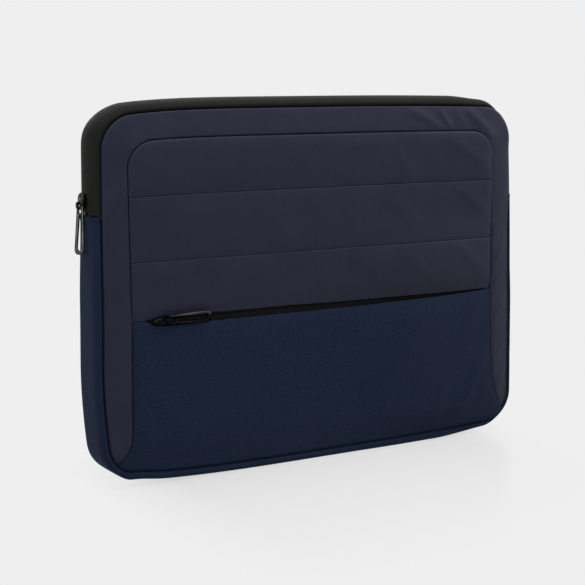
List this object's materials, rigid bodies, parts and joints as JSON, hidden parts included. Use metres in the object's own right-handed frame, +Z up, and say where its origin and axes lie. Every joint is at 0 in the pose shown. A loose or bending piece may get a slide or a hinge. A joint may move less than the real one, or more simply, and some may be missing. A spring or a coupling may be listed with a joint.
{
  "type": "laptop sleeve",
  "caption": "Padded zip-up laptop sleeve with a quilted front, a flat zipped front pocket, a wide zip round the top that lets the upper front fold open, and stirrup zip pulls.",
  "frame": {"origin": "middle of the flat foot of the bottom gusset", "axes": "+X along the width to the right seen from the front, +Y towards the back, +Z up; the front faces -Y"},
  "size_m": [0.4001, 0.0404, 0.29],
  "materials": {
    "coated_fabric": "smooth matt coated fabric, dark navy grey, faint sheen",
    "woven_fabric": "plain woven fabric, dark blue, two-tone threads",
    "zip_tape": "black ribbed zip tape",
    "binding_tape": "black woven tape",
    "lining_fabric": "grey woven lining",
    "foam": "soft closed-cell foam and wadding",
    "zip_coil": "black nylon coil",
    "dark_metal": "dark gunmetal plating, satin"
  },
  "bodies": {
    "sleeve": {"back_panel": "woven_fabric", "back_foam": "foam", "back_lining": "lining_fabric", "lower_gusset": "woven_fabric", "gusset_foam": "foam", "gusset_lining": "lining_fabric", "side_strip_left": "coated_fabric", "side_strip_right": "coated_fabric", "quilt_band_middle": "coated_fabric", "quilt_band_lower": "coated_fabric", "front_wadding": "foam", "pocket_panel": "woven_fabric", "pocket_backing": "lining_fabric", "front_foam": "foam", "front_lining": "lining_fabric", "pocket_tape_upper": "zip_tape", "pocket_tape_lower": "zip_tape", "pocket_coil_upper": "zip_coil", "pocket_coil_lower": "zip_coil", "pocket_zip_stops": "dark_metal", "zip_tape_back": "zip_tape", "zip_coil_back": "zip_coil", "zip_stops": "dark_metal", "zip_end_tabs": "zip_tape", "zip_tape_tails": "zip_tape", "zip_coil_tails": "zip_coil", "seam_binding_back": "binding_tape", "seam_binding_front": "binding_tape"},
    "front_flap": {"flap_frame": "coated_fabric", "quilt_band_top": "coated_fabric", "flap_wadding": "foam", "flap_foam": "foam", "flap_lining": "lining_fabric", "zip_tape_front": "zip_tape", "zip_coil_front": "zip_coil", "flap_binding": "binding_tape"},
    "main_slider": {"main_slider_body": "dark_metal", "main_slider_crown": "dark_metal"},
    "main_pull": {"main_pull": "dark_metal"},
    "pocket_slider": {"pocket_slider_body": "dark_metal", "pocket_slider_crown": "dark_metal"},
    "pocket_pull": {"pocket_pull": "dark_metal"}
  },
  "joints": [
    {"name": "flap_fold", "type": "hinge", "parent": "sleeve", "child": "front_flap", "pos_m": [0, -0.019, 0.219], "axis": [1, 0, 0], "range_deg": [0, 55]},
    {"name": "main_zip_travel", "type": "slide", "parent": "sleeve", "child": "main_slider", "axis": [0, 0, 1], "range_m": [-0.0015, 0.026]},
    {"name": "main_pull_swing", "type": "hinge", "parent": "main_slider", "child": "main_pull", "pos_m": [-0.20035, 0, 0.21185], "axis": [-0.309, 0.9511, 0], "range_deg": [0, 165]},
    {"name": "pocket_zip_travel", "type": "slide", "parent": "sleeve", "child": "pocket_slider", "axis": [1, 0, 0], "range_m": [-0.0115, 0.293]},
    {"name": "pocket_pull_swing", "type": "hinge", "parent": "pocket_slider", "child": "pocket_pull", "pos_m": [-0.1384, -0.02015, 0.126], "axis": [0, 0, -1], "range_deg": [0, 165]}
  ]
}
